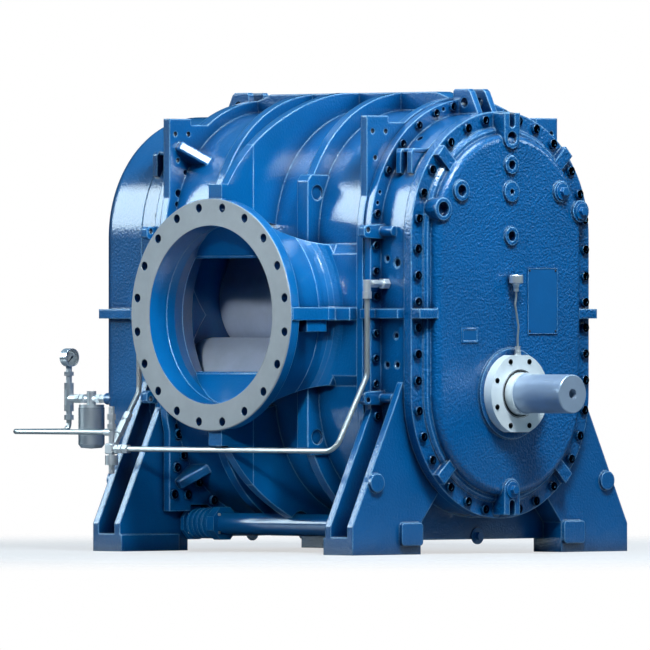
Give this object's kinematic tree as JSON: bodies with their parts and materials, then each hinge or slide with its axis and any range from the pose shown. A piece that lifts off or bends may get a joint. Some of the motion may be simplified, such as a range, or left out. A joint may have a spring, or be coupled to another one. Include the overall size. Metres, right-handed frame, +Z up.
{
  "type": "roots vacuum pump",
  "caption": "Two-lobe roots vacuum pump: stacked rotors in a ribbed casing with side nozzles, footed side plates, timing gears and an oil system.",
  "frame": {"origin": "on the floor, at the centre of the four foot bolt holes, below the middle of the inlet", "axes": "+Z up; the rotor shafts lie along Y with the drive end at -Y; the inlet flange faces -X and the outlet flange +X"},
  "size_m": [1.4, 2.062, 1.559],
  "materials": {
    "blue_paint": "gloss enamel over cast iron",
    "blue_fittings": "gloss enamel over steel",
    "rotor_iron": "machined",
    "shaft_steel": "ground and polished",
    "machined_steel": "turned",
    "gear_steel": "ground",
    "bearing_steel": "ground",
    "fitting_steel": "zinc plated",
    "pipe_steel": "drawn tube",
    "seal_rubber": "matt",
    "dial_white": "printed scale",
    "pointer_black": "matt",
    "gauge_glass": "clear"
  },
  "bodies": {
    "root": {"rotor_casing": "blue_paint", "inlet_nozzle": "blue_paint", "outlet_nozzle": "blue_paint", "drive_end_side_plate": "blue_paint", "gear_end_side_plate": "blue_paint", "front_cover": "blue_paint", "timing_gear_cover": "blue_paint", "bearing_outer_rings": "bearing_steel", "seal_cover": "machined_steel", "shaft_seal": "seal_rubber", "breather_cap": "fitting_steel", "vent_tube": "pipe_steel", "vent_fitting": "fitting_steel", "front_cover_screws": "blue_fittings", "drive_end_casing_screws": "blue_fittings", "gear_end_casing_screws": "blue_fittings", "gear_cover_screws": "blue_fittings", "seal_cover_screws": "gear_steel", "ear_screws": "blue_fittings", "equaliser_screws": "fitting_steel", "oil_plugs": "blue_fittings", "drive_end_oil_fitting": "fitting_steel", "gear_end_oil_fitting": "fitting_steel", "drive_end_oil_pipe": "pipe_steel", "gear_end_oil_pipe": "pipe_steel", "oil_manifold": "fitting_steel", "oil_return_pipe": "pipe_steel", "tee_column": "fitting_steel", "filter_head": "fitting_steel", "filter_can": "machined_steel", "gauge_case": "machined_steel", "gauge_dial": "dial_white", "gauge_glass": "gauge_glass", "equaliser_tube": "blue_fittings", "equaliser_bellows": "blue_fittings", "equaliser_plates": "blue_fittings", "nameplate": "blue_fittings"},
    "drive_rotor": {"drive_rotor": "rotor_iron", "drive_timing_gear": "gear_steel", "drive_gear_nut": "gear_steel", "drive_bearing_inner_rings": "bearing_steel", "oil_slinger": "gear_steel", "shaft_sleeve": "shaft_steel"},
    "driven_rotor": {"driven_rotor": "rotor_iron", "driven_timing_gear": "gear_steel", "driven_gear_nut": "gear_steel", "driven_bearing_inner_rings": "bearing_steel"},
    "gauge_pointer": {"gauge_pointer": "pointer_black"}
  },
  "joints": [
    {"name": "drive_rotor_spin", "type": "hinge", "parent": "root", "child": "drive_rotor", "pos_m": [0, 0, 0.536], "axis": [0, 1, 0], "continuous": true},
    {"name": "driven_rotor_spin", "type": "hinge", "parent": "root", "child": "driven_rotor", "pos_m": [0, 0, 1.064], "axis": [0, 1, 0], "continuous": true},
    {"name": "gauge_pointer_swing", "type": "hinge", "parent": "root", "child": "gauge_pointer", "pos_m": [-0.392, 1.0142, 0.655], "axis": [0, 1, 0], "range_deg": [0, 270]}
  ],
  "couplings": [
    {"joint": "driven_rotor_spin", "follows": "drive_rotor_spin", "ratio": -1}
  ]
}
